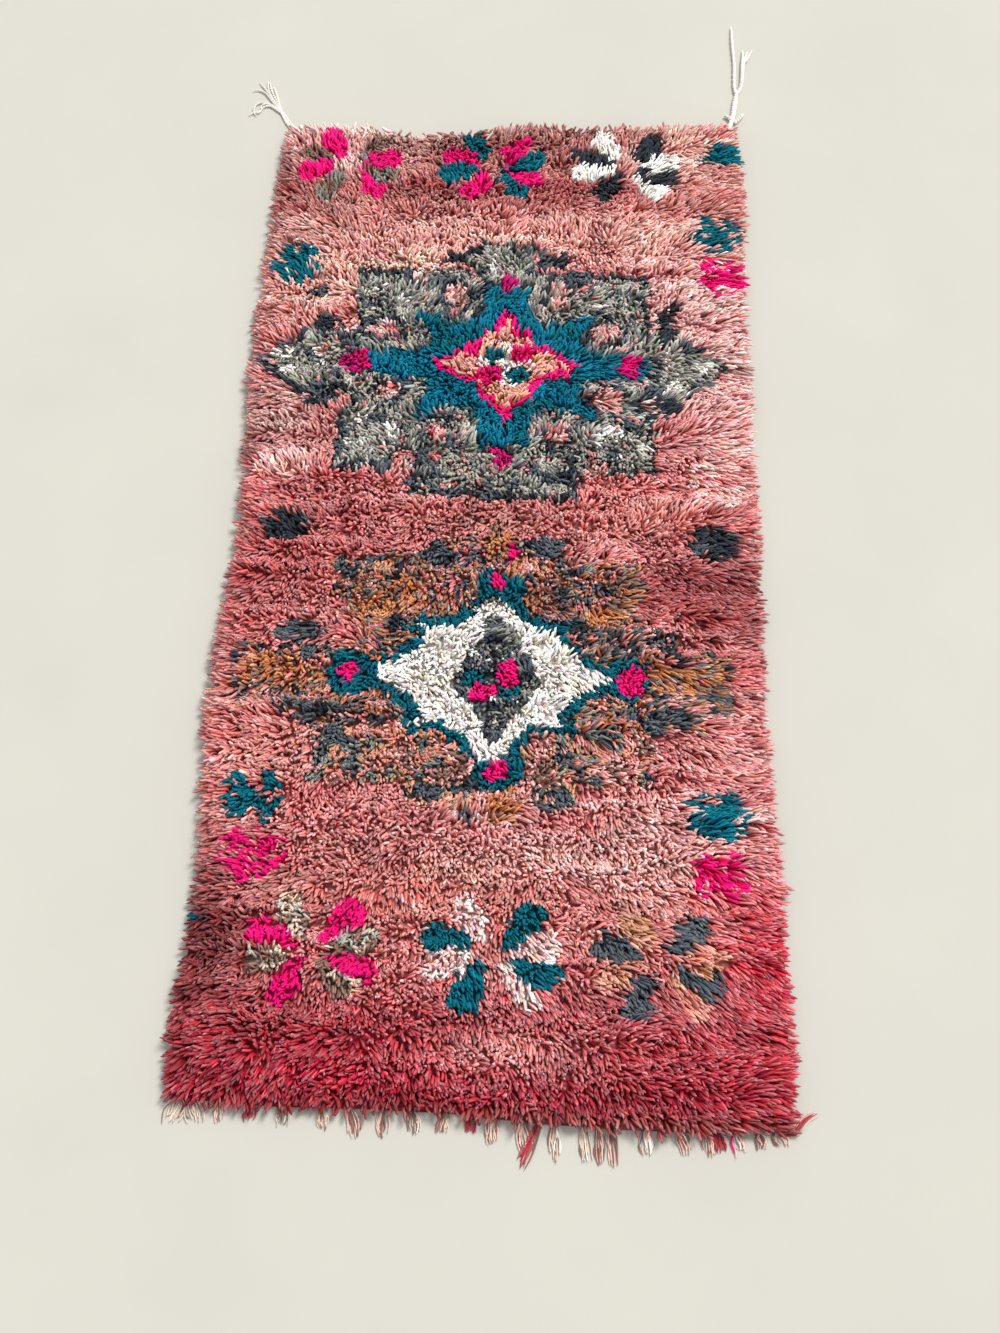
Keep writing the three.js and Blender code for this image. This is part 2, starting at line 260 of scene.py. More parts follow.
# Eight-petal rosettes in two dyes: where the petals stand round the middle, and whose dye they take.
Petal = namedtuple("Petal", "angle role")
PETALS = table(Petal, [
    (50, "first"), (118, "second"), (160, "first"), (196, "second"), (242, "first"), (309, "second"),
    (338, "first"), (11, "second"),
])
PETAL_RING = (72, 60)
PETAL_SIZE = (45, 23)
PETAL_WIDENING = 0.35
Rosette = namedtuple("Rosette", "x y first second scale")
ROSETTES = table(Rosette, [
    (-350, 932, ("grey", "taupe"), "hot_pink", 1.0),
    (-42, 934, "hot_pink", "teal", 1.0),
    (246, 944, "charcoal", "cream", 1.04),
    (-300, -778, "hot_pink", ("taupe", "ash", "ecru", "taupe"), 1.04),
    (12, -780, "teal", ("blush", "cream", "blush"), 1.08),
    (302, -792, "slate", ("tan", "peach", "peach", "salmon"), 1.04),
])

# Small blossoms along the sides, knotted from one chart.
Blossom = namedtuple("Blossom", "x y half_width half_length dye")
BLOSSOMS = table(Blossom, [
    (-446, 667, 48, 48, "teal"),
    (440, 764, 50, 46, "teal"),
    (446, 655, 48, 46, "hot_pink"),
    (-426, -510, 56, 48, "teal"),
    (411, -522, 56, 48, "teal"),
    (-416, -616, 56, 45, "hot_pink"),
    (411, -640, 48, 48, "hot_pink"),
])
BLOSSOM_CHART = [
    ".XX.XX.",
    "XXX.XXX",
    ".XXXXX.",
    "X.XXX.X",
    "XXXXXXX",
    ".XX.XX.",
    "..X.X..",
]
BLUSH_SPOTS = table(Spot, [(-424, 178, 60, 38), (430, 160, 66, 54)])
NAVY_SPOTS = table(Spot, [(-418, 46, 50, 36), (418, 26, 50, 40)])
TEAL_CORNER = [(408, 958), (506, 960), (498, 1000), (470, 1024), (440, 1006)]
EDGE_SPECK = Spot(-508, -735, 18, 10)

# How the pile lies: parted at a place near the middle, leaning outwards from it in stray clumps and in
# ridges across the rug, and flopping over at the rims. Leans are sideways reach for height. The side lean
# grows evenly by its ease and steeply by the rest.
PARTING = (-140, 260)
LEAN_REACH = (390, 560)
SIDE_LEAN = 0.95
SIDE_EASE = 0.3
END_LEAN = 0.36
END_REACH = 1000
Clump = namedtuple("Clump", "size strength")
CLUMPS = table(Clump, [(85, 0.36), (30, 0.38)])
CLUMP_CALM = 0.35
RIDGE_SIZE = 24
RIDGE_STRETCH = 8
RIDGE_STRENGTH = 0.60
STRAY_LEAN = 0.16
FLOP = 0.80
FLOP_LENGTH = 26
FAR_FLOP = 0.3
RIM_INSETS = np.array([[28], [31], [29], [17]])

# Knots: the box in which their rows are laid, and how far one strays from its place, in pitches.
KNOT_BOX = ((-560, 560), (-1100, 1110))
KNOT_STRAY = 0.42

# A lock's rings along its length, their fullness, and how the lock bends, curls and droops. A change is
# its lowest value and its span.
LOCK_RINGS = np.array([0.0, 0.44, 0.87, 1.0])
LOCK_FULLNESS = np.array([1.45, 1.60, 1.14, 0.0])
LOCK_SIDES = 3
LENGTH_PATCH = 55
LENGTH_CHANGE = (0.86, 0.28)
LENGTH_SPREAD = 0.08
RADIUS_SPREAD = 0.13
CURL_PATCH = 24
CURL = 1.4
OWN_CURL = 0.40
CURL_WAVES = 7
BEND_START = 0.35
BEND_GROWTH = 1.7
DROOP = 1.15

# Where the pile lies flat its locks are longer, thinner and less curly.
FLAT_FROM = 0.2
FLAT_LENGTHENING = 0.5
FLAT_THINNING = 0.16
FLAT_CALM = 0.6

# Dye and painted light of a lock ring by ring: painted shade, darker and deeper, at the root where the
# locks shade each other, and a painted highlight at the tip; pale locks keep more light at their roots.
# Painted shade at the roots and a painted highlight at the tips.
PAINTED_LOCK_SHADE_AND_HIGHLIGHT = np.array([0.62, 0.86, 1.04, 1.14])
PALE_GLOW = 0.85
# The painted shade at the roots also deepens the hue.
PAINTED_ROOT_SHADE_DEPTH = np.array([1.0, 0.55, 0.05, 0.0])
TIP_FADING = np.array([0.0, 0.0, 0.13, 0.32])
MOTIF_FADING = 0.06
LOCK_SPREAD = 0.14
FIELD_SPREAD = 0.10
HUE_SPREAD = 0.05
TONE_PATCH = 34
TONE_CHANGE = (0.84, 0.36)
TIP_STRAY = 1.5
SUN_FADING = 2
SUN_CHANCE = 1.3

# The pile's top and the room under its locks in metres; locks bow from this share of the top.
PILE_TOP = 0.0285
BOW_FROM = 0.8
FLOOR_ROOM = 0.0005

# Pieces that the pile is made in, along the length.
PILE_BANDS = 5
PILE_SEED = 20

# Stage: half the floor's side, the little it lies below the rug, its grain, where the light comes from,
# and the camera's sensor in millimetres.
FLOOR_HALF = 6.0
FLOOR_GAP = 0.0003
FLOOR_GRAIN = 3.0
FLOOR_SHADE = 0.93
KEY_FROM = (0.5, 0.62, 1.0)
FILL_COLOUR = (0.95, 0.97, 1.0, 1)
SENSOR_HEIGHT = 36.0

# Woven ground: how far it ends inside the pile's reach, its cells, the share of its map that they fill,
# and how far in from its edge the felted roots reach their height. Locks start inside the roots.
EDGE_INSET = 16
GROUND_CELLS = (84, 170)
GROUND_MAP = 0.96
GROUND_SEED = 3
GROUND_EDGE = math.radians(50)
ROOT_SLOPE = 36
ROOT_PLACE = 5.5
ROOT_LUMP = 34
ROOT_CHANGE = (0.8, 0.4)
# Painted shade on the felted roots, which lie under the locks.
ROOT_PAINTED_SHADE = 0.70

# Its weave: scales of the wefts, the warps and uneven lots, the tones that these give, and the threads'
# height in metres.
WEFT_SCALE = 48.0
WARP_SCALE = 50.0
LOT_SCALE = 60.0
THREAD_TONE = 0.35
LOT_TONE = 0.5
WEAVE_HEIGHT = 0.0015

# Warp bundles of the near fringe: root across the width, tip beside it, length, fan of the threads and
# their dyes.
Bundle = namedtuple("Bundle", "x lean reach fan dyes")
WARP = ("ecru", "ecru", "ecru", "pale_rose", "taupe", "brown_rose")
PALE_WARP = ("cream", "ecru", "ecru", "taupe")
RED_WARP = ("brick", "raspberry", "crimson", "brown_rose")
PINK_WARP = ("blush", "pale_rose", "hot_pink", "blush", "cream")
BUNDLES = table(Bundle, [
    (-500, -12, 34, 30, PALE_WARP), (-478, 10, 31, 26, PALE_WARP), (-434, 2, 27, 11, WARP),
    (-380, -3, 20, 9, RED_WARP), (-322, -4, 26, 16, PALE_WARP), (-263, 3, 30, 14, WARP),
    (-216, 10, 41, 12, WARP), (-158, 3, 38, 18, WARP), (-112, 3, 33, 18, PALE_WARP),
    (-59, -6, 26, 14, WARP), (-15, 4, 22, 12, RED_WARP), (17, 4, 38, 17, WARP),
    (72, 10, 44, 20, WARP), (100, -30, 68, 6, RED_WARP), (125, 3, 55, 14, PALE_WARP),
    (172, 6, 52, 15, PALE_WARP), (196, 4, 57, 9, WARP), (216, 6, 54, 12, WARP),
    (274, 4, 32, 15, PALE_WARP), (330, 10, 33, 13, WARP), (372, 6, 31, 14, WARP),
    (392, 7, 23, 9, RED_WARP), (424, 4, 29, 20, PINK_WARP), (462, 5, 19, 10, WARP),
    (492, 8, 17, 16, WARP),
])
CORNER_BUNDLE = [(497, -1061), (522, -1056), (541, -1035), (560, -1022)]
CORNER_STRAY = 1.4

# Warp threads: their roots under the pile, how they fan out on the way, their cut and their taper.
THREAD_TUCK = 2
THREAD_HIDDEN = 9
BUNDLE_WIDTH = 8
CUT_LENGTHS = (0.72, 1.03)
Fan = namedtuple("Fan", "along width")
THREAD_FANS = table(Fan, [(0.0, 0.0), (0.4, 0.9), (0.7, 1.0), (1.0, 0.7)])
THREAD_STRAY = 1.5
THREAD_SPREAD = 0.15
THREAD_SIDES = 4
THREAD_TAPER = np.array([1, 1, 1, 1, 1, 0.95, 0.9, 0.7, 0])
THREAD_STEPS = len(THREAD_TAPER)
# Painted shade along a thread, darkest at its root under the pile and lighter towards its tip.
THREAD_PAINTED_SHADE = np.linspace(0.55, 1.15, THREAD_STEPS)
THREAD_LIFT = 1.5
THREAD_HEAP = 2.8
THREAD_SETTLING = np.linspace(1, 0.35, THREAD_STEPS)
FRINGE_SEED = 31

# Plies of the tassels: steps along one, millimetres for a turn, how close they lie, how they taper, and
# how far the yarns stray and differ in shade.
PLIES = 2
PLY_STEPS = 64
PLY_SIDES = 6
PLY_TURN = 14
PLY_CLOSENESS = 0.92
PLY_TAPER = 7
PLY_TIP = 0.55
STEM_SPREAD = 2.56
YARN_STRAY = 0.6
YARN_SHADES = (0.86, 1.05)

# Tassel routes in plan, each from its root to its tip.
LEFT_STEM = [(-472, 1031), (-497, 1058), (-512, 1084)]
LEFT_ENDS = [
    [(-526, 1120), (-541, 1166)],
    [(-529, 1120), (-544, 1152), (-552, 1178)],
    [(-532, 1120), (-550, 1154), (-556, 1182)],
    [(-536, 1118), (-556, 1150), (-568, 1168), (-574, 1178)],
    [(-539, 1116), (-560, 1146), (-578, 1154), (-587, 1150)],
    [(-541, 1110), (-557, 1120), (-575, 1112), (-578, 1090), (-570, 1079)],
    [(-541, 1106), (-558, 1104), (-567, 1090), (-580, 1086), (-590, 1081)],
    [(-540, 1109), (-556, 1114), (-566, 1108), (-562, 1094)],
]
RIGHT_STEM = [(476, 1072), (486, 1106), (494, 1164)]
LONG_CORD = [(491, 1200), (492, 1262), (490, 1320), (489, 1378)]
SHORT_CORD = [(507, 1200), (513, 1262)]
SHORT_ENDS = [[(513, 1284), (514, 1308)], [(520, 1278), (534, 1306)], [(517, 1280), (524, 1304)]]
ROOT_ENDS = [[(486, 1092), (476, 1108), (465, 1112)], [(489, 1092), (501, 1106), (508, 1118)]]

# A tube's own cell in the texture map: its left edge and width, its wall and the cap at its root.
MAP_LEFT = 0.04
MAP_WIDTH = 0.92
MAP_WALL = (0.06, 0.94)
MAP_CAP = (0.02, 0.05)

# Samples between two points of a smooth route, and the lattice behind the smooth noise.
ROUTE_SAMPLES = 24
LATTICE = 512
LATTICE_SHIFT = 200.0

# Fine fibres of the wool: how far they change its tone and roughness, and their height in metres.
FIBRE_CHANGE = (0.55, 0.9)
FIBRE_POLISH = 0.25
FIBRE_HEIGHT = 0.0006


def metres(name, description, default):
    return FloatProperty(name=name, description=description, default=default, unit="LENGTH")


class RugSizes(PropertyGroup):
    """Sizes of the rug's yarns and cloth."""

    knot_pitch_across: metres("Knot pitch across", "From knot to knot along a row", 0.006)
    knot_pitch_along: metres("Knot pitch along", "From row to row", 0.0062)
    lock_length: metres("Lock length", "Length of a wool lock above its knot", 0.034)
    lock_radius: metres("Lock radius", "Half a lock's thickness", 0.0023)
    ground_thickness: metres("Ground thickness", "Thickness of the woven ground", 0.003)
    root_height: metres("Root height", "Height of the felted roots of the pile", 0.012)
    thread_radius: metres("Thread radius", "Half a warp thread's thickness", 0.0013)
    strand_radius: metres("Strand radius", "Half a ply of the left tassel's strands", 0.0014)
    cord_radius: metres("Cord radius", "Half a ply of the right tassel's cords", 0.0023)
    bundle_threads: IntProperty(
        name="Threads in a bundle", description="Warp threads in each fringe bundle", default=12)


def dye_property(name, colour):
    words = name.replace("_", " ")
    return FloatVectorProperty(
        name=words.capitalize(), description="Wool dyed " + words, subtype="COLOR_GAMMA", size=3,
        min=0.0, max=1.0, default=tuple(part / 255 for part in colour))


RugDyes = type("RugDyes", (PropertyGroup,), {
    "__doc__": "Dyes of the wool.",
    "__annotations__": {name: dye_property(name, colour) for name, colour in DYES.items()},
})


class StageSettings(PropertyGroup):
    """Camera and light."""

    lens: FloatProperty(name="Lens", description="Focal length on a 36 mm high sensor", default=40.5)
    camera_place: FloatVectorProperty(
        name="Camera place", description="Where the camera stands", subtype="TRANSLATION",
        default=(0.0532, -1.4648, 2.5812))
    camera_turn: FloatVectorProperty(
        name="Camera turn", description="Turn from looking straight down", subtype="EULER",
        default=tuple(math.radians(angle) for angle in (23.233, -0.106, 1.757)))
    floor_colour: FloatVectorProperty(
        name="Floor", description="Colour of the floor", subtype="COLOR_GAMMA", size=3,
        default=(0.78, 0.765, 0.72))
    key_strength: FloatProperty(
        name="Key light", description="Strength of the large soft light", default=3.1)
    key_angle: FloatProperty(
        name="Key softness", description="How wide the large light looks from the rug", subtype="ANGLE",
        default=math.radians(24))
    fill_strength: FloatProperty(
        name="Fill light", description="Strength of the light from all round", default=0.66)


class Value:
    """A shader value; an expression on values adds its maths nodes."""

    def __init__(self, nodes, socket):
        self.nodes = nodes
        self.socket = socket

    def maths(self, operation, first, second):
        return self.nodes.add("ShaderNodeMath", {"operation": operation}, {0: first, 1: second})

    def __add__(self, other):
        return self.maths("ADD", self, other)

    __radd__ = __add__

    def __mul__(self, other):
        return self.maths("MULTIPLY", self, other)

    def __rsub__(self, other):
        return self.maths("SUBTRACT", other, self)


class Material:
    """A node material with its shader, and one method that makes any other node."""

    def __init__(self, name):
        self.data = bpy.data.materials.new(name)
        self.data.use_nodes = True
        self.tree = self.data.node_tree
        self.shader = self.tree.nodes["Principled BSDF"]

    def add(self, kind, settings=None, inputs=None, output=0):
        node = self.tree.nodes.new(kind)
        for key, value in (settings or {}).items():
            if key == "stops":
                ramp_stops(node.color_ramp, value)
            else:
                setattr(node, key, value)
        for key, value in (inputs or {}).items():
            self.put(node.inputs[key], value)
        return Value(self, node.outputs[output])

    def put(self, socket, value):
        if isinstance(value, Value):
            self.tree.links.new(value.socket, socket)
        else:
            socket.default_value = value

    def finish(self, **inputs):
        for key, value in inputs.items():
            self.put(self.shader.inputs[key.replace("_", " ")], value)
        return self.data


def ramp_stops(ramp, stops):
    while len(ramp.elements) < len(stops):
        ramp.elements.new(1.0)
    for element, (place, colour) in zip(ramp.elements, stops):
        element.position = place
        element.color = colour


def linear(colour):
    """Display colours as light."""
    colour = np.asarray(colour, float)
    return np.where(colour <= 0.04045, colour / 12.92, ((colour + 0.055) / 1.055) ** 2.4)


def wool(name, fibre_scale, sheen):
    """Spun wool: its dye comes with the yarn, and fine fibres run along it."""
    made = Material(name)
    dye = made.add("ShaderNodeAttribute", {"attribute_name": "dye"})
    yarn = made.add("ShaderNodeAttribute", {"attribute_name": "yarn"}, output="Vector")
    fibres = made.add("ShaderNodeTexNoise", {}, {"Vector": yarn, "Scale": fibre_scale, "Detail": 3.0})
    tone = fibres * FIBRE_CHANGE[1] + FIBRE_CHANGE[0]
    colour = made.add("ShaderNodeVectorMath", {"operation": "SCALE"}, {0: dye, "Scale": tone})
    bump = made.add("ShaderNodeBump", {}, {"Height": fibres, "Strength": 0.5, "Distance": FIBRE_HEIGHT})
    made.shader.inputs["Sheen Weight"].default_value = sheen
    made.shader.inputs["Sheen Roughness"].default_value = 0.6
    made.shader.inputs["Specular IOR Level"].default_value = 0.10
    return made.finish(Base_Color=colour, Roughness=1.0 - fibres * FIBRE_POLISH, Normal=bump)


def column(rows, key, name, at):
    """Reads one column of a table between its rows; key is the column that places the rows."""
    places = [getattr(row, key) for row in rows]
    return np.interp(at, places, [getattr(row, name) for row in rows])


def cloud(x, y, size, seed, stretch=1.0):
    """Smooth noise from 0 to 1 in patches of a size, stretched across the rug."""
    lattice = np.random.default_rng(seed).random((LATTICE, LATTICE))
    u = x / (size * stretch) + LATTICE_SHIFT
    v = y / size + LATTICE_SHIFT
    i, j = np.floor(u).astype(int) % (LATTICE - 1), np.floor(v).astype(int) % (LATTICE - 1)
    s, t = u - np.floor(u), v - np.floor(v)
    s, t = s * s * (3 - 2 * s), t * t * (3 - 2 * t)
    low = lattice[i, j] * (1 - s) + lattice[i + 1, j] * s
    high = lattice[i, j + 1] * (1 - s) + lattice[i + 1, j + 1] * s
    return low * (1 - t) + high * t


def drift(x, y, size, seeds):
    """A smooth stray both ways, from -0.5 to 0.5."""
    return np.stack([cloud(x, y, size, seed) for seed in seeds], -1) - 0.5


def in_oval(x, y, spot, margin=0):
    across = (x - spot.x) / (spot.half_width + margin)
    along = (y - spot.y) / (spot.half_length + margin)
    return across ** 2 + along ** 2 < 1


def in_ovals(x, y, spots, margin=0):
    return np.any([in_oval(x, y, spot, margin) for spot in spots], axis=0)


def in_rows(x, y, rows):
    inside = [(y >= row.low) & (y < row.high) & (x >= row.left) & (x < row.right) for row in rows]
    return np.any(inside, axis=0)


def in_polygon(x, y, corners):
    inside = np.zeros(len(x), bool)
    for (x0, y0), (x1, y1) in zip(corners, corners[1:] + corners[:1]):
        crosses = (y0 > y) != (y1 > y)
        rise = y1 - y0 if y1 != y0 else 1.0
        inside ^= crosses & (x < x0 + (x1 - x0) * (y - y0) / rise)
    return inside


def in_four_way(x, y, quarter):
    """Inside an outline given for one quarter and the same in the other three."""
    return in_polygon(np.abs(x), np.abs(y), quarter + [(0, 0)])


class Chart:
    """The dyes of the knots, at the places where their tips lie, in millimetres."""

    def __init__(self, x, y, dyes, rng):
        ragged = RAGGEDNESS * drift(x, y, RAGGED_GRAIN, seeds=(95, 96))
        self.x = x + ragged[:, 0]
        self.y = y + ragged[:, 1]
        self.rng = rng
        self.dyes = {name: linear(getattr(dyes, name)[:]) for name in DYES}
        self.colour = np.tile(self.dyes["rose"], (len(x), 1))
        self.fading = np.ones(len(x))

    def clumps(self, size, stray, seed):
        """Numbers from 0 to 1 that change from clump to clump, with a share of pure chance."""
        clump = cloud(self.x, self.y, size, seed, CLUMP_STRETCH)
        return (1 - stray) * clump + stray * self.rng.random(len(self.x))

    def paint(self, where, dyes, share=1.0):
        """Knots in an area take one of some dyes, in clumps; share is how many of them do."""
        names = [dyes] if isinstance(dyes, str) else list(dyes)
        grain = self.clumps(DYE_CLUMP, DYE_STRAY, seed=len(names))
        order = np.argsort(np.argsort(grain)) / len(grain)
        pick = (order * len(names)).astype(int)
        bare = self.clumps(BARE_CLUMP, BARE_STRAY, seed=30 + len(names))
        chosen = where & (bare <= np.quantile(bare, share))
        self.fading[chosen] = MOTIF_FADING
        for k, name in enumerate(names):
            self.colour[chosen & (pick == k)] = self.dyes[name]

    def blend(self, weight, dye):
        """Knots go over to a dye by a weight from 0 to 1."""
        self.colour += weight[:, None] * (self.dyes[dye] - self.colour)

    def field(self):
        """Soft patches on the rose ground, uneven lots, and knots faded or worn one by one."""
        for k, patch in enumerate(FIELD_PATCHES):
            across = ((self.x - patch.x) / patch.half_width) ** 2
            along = ((self.y - patch.y) / patch.half_length) ** 2
            streaks = cloud(self.x, self.y, STREAK, seed=40 + k, stretch=STREAK_STRETCH) - 0.5
            weight = patch.strength * np.exp(-across - along) * (1 + STREAK_DEPTH * streaks)
            self.blend(np.clip(weight, 0, 1), patch.dye)
        for k, lot in enumerate(DYE_LOTS):
            swing = cloud(self.x, self.y, lot.size, seed=60 + k, stretch=lot.stretch)[:, None] - 0.5
            self.colour *= 1 - lot.deepening * np.clip(LOT_STEEPNESS * swing - LOT_CALM, 0, 1) * DEEPENING
            self.colour *= 1 + lot.fading * np.clip(-LOT_STEEPNESS * swing - LOT_CALM, 0, 1) * FADING
        self.colour *= 1 + KNOT_FADING * self.rng.random((len(self.x), 1)) ** 4 * FADING
        worn = WORN * self.rng.random(len(self.x)) ** 2
        self.blend(worn * np.clip((WORN_FROM - self.y) / WORN_LENGTH, 0, 1), "salmon")

    @staticmethod
    def grey_ground(x, y):
        return in_rows(x, y, GREY_ROWS) | in_four_way(x - ARMS_MIDDLE, y, GREY_ARMS)

    def grey_medallion(self):
        x, y = self.x - GREY_MEDALLION[0], self.y - GREY_MEDALLION[1]
        whole = self.grey_ground(x, y)
        islands = in_ovals(x, y, GREY_ISLANDS)
        ground = whole & ~islands
        inner = np.all([self.grey_ground(x + shift[0], y + shift[1]) for shift in EDGE_SHIFTS], axis=0)
        rings = in_ovals(x, y, GREY_ISLANDS, EDGE_WIDTH)
        self.paint(ground, GREYS, share=0.93)
        self.paint(ground & (rings | ~inner), DARK_GREYS, share=0.72)
        self.paint(whole & islands, ISLAND_GREYS, share=0.62)
        self.paint(ground & in_ovals(x, y, GREY_LIGHTS), PALE_GREYS, share=0.45)
        self.paint(in_ovals(x, y, GREY_DARKS), DARK_GREYS, share=0.85)
        self.paint(in_four_way(x * STAR_RIM, y * STAR_RIM, TEAL_STAR), DARK_GREYS, share=0.6)
        self.paint(in_four_way(x, y, TEAL_STAR), ("blue_teal", "blue_teal", "teal"))
        self.paint(in_four_way(x, y, PEACH_STAR), "hot_pink")
        self.paint(in_four_way(x, y, PEACH_HEART), ("apricot", "peach", "peach"))
        self.paint(in_oval(x, y, PINWHEEL_PALE), ("cream", "blush", "cream"), share=0.9)
        self.paint(in_ovals(x, y, PINWHEEL_TEAL), "teal")
        self.paint(in_ovals(x, y, PINWHEEL_PINK), "hot_pink")
        self.paint(in_ovals(x, y, STAR_EYES), ("magenta", "hot_pink", "magenta"))

    def cream_medallion(self):
        x, y = self.x - CREAM_MEDALLION[0], self.y - CREAM_MEDALLION[1]
        self.paint(in_rows(x, y, BROWN_ROWS), BROWNS, share=0.78)
        self.paint(in_rows(x, y, PALE_ROWS), PALE_BROWNS, share=0.78)
        self.paint(in_ovals(x, y, BROWN_RUSTS), RUSTS, share=0.75)
        self.paint(in_ovals(x, y, BROWN_DARKS), ("slate", "charcoal", "slate"), share=0.85)
        self.paint(in_oval(x, y, PINK_SPOT), "hot_pink", share=0.85)
        across, along = x - LOZENGE_MIDDLE[0], y - LOZENGE_MIDDLE[1]
        lozenge = in_four_way(across, along, CREAM_LOZENGE)
        width = TEETH_WIDTH + TEETH_SPREAD * cloud(self.x, self.y, TEETH_GRAIN, seed=8)
        teeth = [in_four_way(across + width * way[0], along + width * way[1], CREAM_LOZENGE)
                 for way in TEETH_WAYS]
        self.paint(np.any(teeth, axis=0) | in_ovals(x, y, TEETH_KNOBS), ("teal", "deep_teal", "teal"))
        self.paint(lozenge, "cream")
        self.paint(in_oval(x, y, LOZENGE_GREY) & lozenge, PALE_GREYS, share=0.6)
        self.paint(in_four_way(x, y, DARK_LOZENGE), INNER_GREYS, share=0.95)
        self.paint(in_ovals(x, y, DARK_TEALS), "teal")
        self.paint(in_ovals(x, y, DARK_PINKS + TEETH_EYES), "hot_pink")

    def rosette(self, rosette):
        for petal in PETALS:
            turn = math.radians(petal.angle)
            x = (self.x - rosette.x) / rosette.scale - PETAL_RING[0] * math.cos(turn)
            y = (self.y - rosette.y) / rosette.scale - PETAL_RING[1] * math.sin(turn)
            out = x * math.cos(turn) + y * math.sin(turn)
            beside = y * math.cos(turn) - x * math.sin(turn)
            beside = beside / (1 + PETAL_WIDENING * np.clip(out / PETAL_SIZE[0], -1, 1))
            inside = in_oval(out, beside, Spot(0, 0, *PETAL_SIZE))
            self.paint(inside, getattr(rosette, petal.role))

    def blossom(self, blossom):
        rows, cells = len(BLOSSOM_CHART), len(BLOSSOM_CHART[0])
        chart = np.array([[mark == "X" for mark in row] for row in BLOSSOM_CHART])
        across = (self.x - blossom.x + blossom.half_width) / (2 * blossom.half_width)
        down = (blossom.y + blossom.half_length - self.y) / (2 * blossom.half_length)
        cell = np.floor(across * cells).astype(int)
        row = np.floor(down * rows).astype(int)
        inside = (cell >= 0) & (cell < cells) & (row >= 0) & (row < rows)
        knotted = chart[np.clip(row, 0, rows - 1), np.clip(cell, 0, cells - 1)]
        self.paint(inside & knotted, blossom.dye, share=0.92)

    def draw(self):
        """Dyes all the knots, the field first, and gives back their colours."""
        self.field()
        self.grey_medallion()
        self.cream_medallion()
        for rosette in ROSETTES:
            self.rosette(rosette)
        for blossom in BLOSSOMS:
            self.blossom(blossom)
        self.paint(in_ovals(self.x, self.y, BLUSH_SPOTS), ("blush", "pale_rose", "blush"), share=0.65)
        self.paint(in_ovals(self.x, self.y, NAVY_SPOTS), NAVY, share=0.92)
        self.paint(in_polygon(self.x, self.y, TEAL_CORNER), "teal")
        self.paint(in_oval(self.x, self.y, EDGE_SPECK), "deep_teal")
        return self.colour


def unit(vectors):
    return vectors / np.maximum(np.linalg.norm(vectors, axis=-1, keepdims=True), 1e-9)


def joined_tubes(name, paths, radii, sides, colours, start):
    """One mesh of many closed tubes, each with its own cell in the texture map.

    paths is tubes by points by 3 in metres and radii is tubes by points; a tube ends in a point.
    colours is tubes by points by 3, and start a direction across the tubes for their first side.
    """
    count, points = radii.shape
    rings = points - 1
    ahead = unit(np.gradient(paths, axis=1))
    angles = 2 * np.pi * np.arange(sides) / sides
    turn = np.stack([np.cos(angles), np.sin(angles)], -1)
    side = np.broadcast_to(start, (count, 3))
    place = np.zeros((count, rings * sides + 1, 3))
    yarn = np.zeros_like(place)
    dye = np.ones((count, rings * sides + 1, 4))
    along = np.cumsum(np.linalg.norm(np.diff(paths, axis=1, prepend=paths[:, :1]), axis=-1), axis=1)
    for ring in range(rings):
        side = unit(side - np.sum(side * ahead[:, ring], -1, keepdims=True) * ahead[:, ring])
        across = np.cross(ahead[:, ring], side)
        spread = turn[:, :1] * side[:, None] + turn[:, 1:] * across[:, None]
        here = slice(ring * sides, (ring + 1) * sides)
        place[:, here] = paths[:, ring, None] + radii[:, ring, None, None] * spread
        yarn[:, here, :2] = turn
        yarn[:, here, 2] = along[:, ring, None]
        dye[:, here, :3] = colours[:, ring, None]
    place[:, -1] = paths[:, -1]
    yarn[:, -1, 2] = along[:, -1]
    dye[:, -1, :3] = colours[:, -1]
    faces, marks = tube_faces(rings, sides)
    return mesh_of_copies(name, place, faces, marks, dye, yarn)


def tube_faces(rings, sides):
    """Faces of one tube by point number, and the place of each corner in the tube's own map cell."""
    faces, marks = [], []
    heights = np.linspace(*MAP_WALL, rings + 1)
    across = MAP_LEFT + MAP_WIDTH * np.arange(sides + 1) / sides
    for ring in range(rings):
        low, high = heights[ring:ring + 2]
        for k in range(sides):
            left, right = across[k:k + 2]
            first, second = ring * sides + k, ring * sides + (k + 1) % sides
            if ring == rings - 1:
                faces.append((first, second, rings * sides))
                marks.append(((left, low), (right, low), ((left + right) / 2, high)))
            else:
                faces.append((first, second, second + sides, first + sides))
                marks.append(((left, low), (right, low), (right, high), (left, high)))
    faces.append(tuple(reversed(range(sides))))
    marks.append(tuple((across[k], MAP_CAP[k % 2]) for k in reversed(range(sides))))
    return faces, marks


def linked(name, data):
    """A new object in the scene, at the origin."""
    made = bpy.data.objects.new(name, data)
    bpy.context.collection.objects.link(made)
    return made


def add_values(mesh, name, kind, values):
    """Gives every point of a mesh a colour or a vector under a name."""
    layer = mesh.attributes.new(name, kind, "POINT")
    key = "color" if kind == "FLOAT_COLOR" else "vector"
    layer.data.foreach_set(key, values.astype(np.float32).ravel())


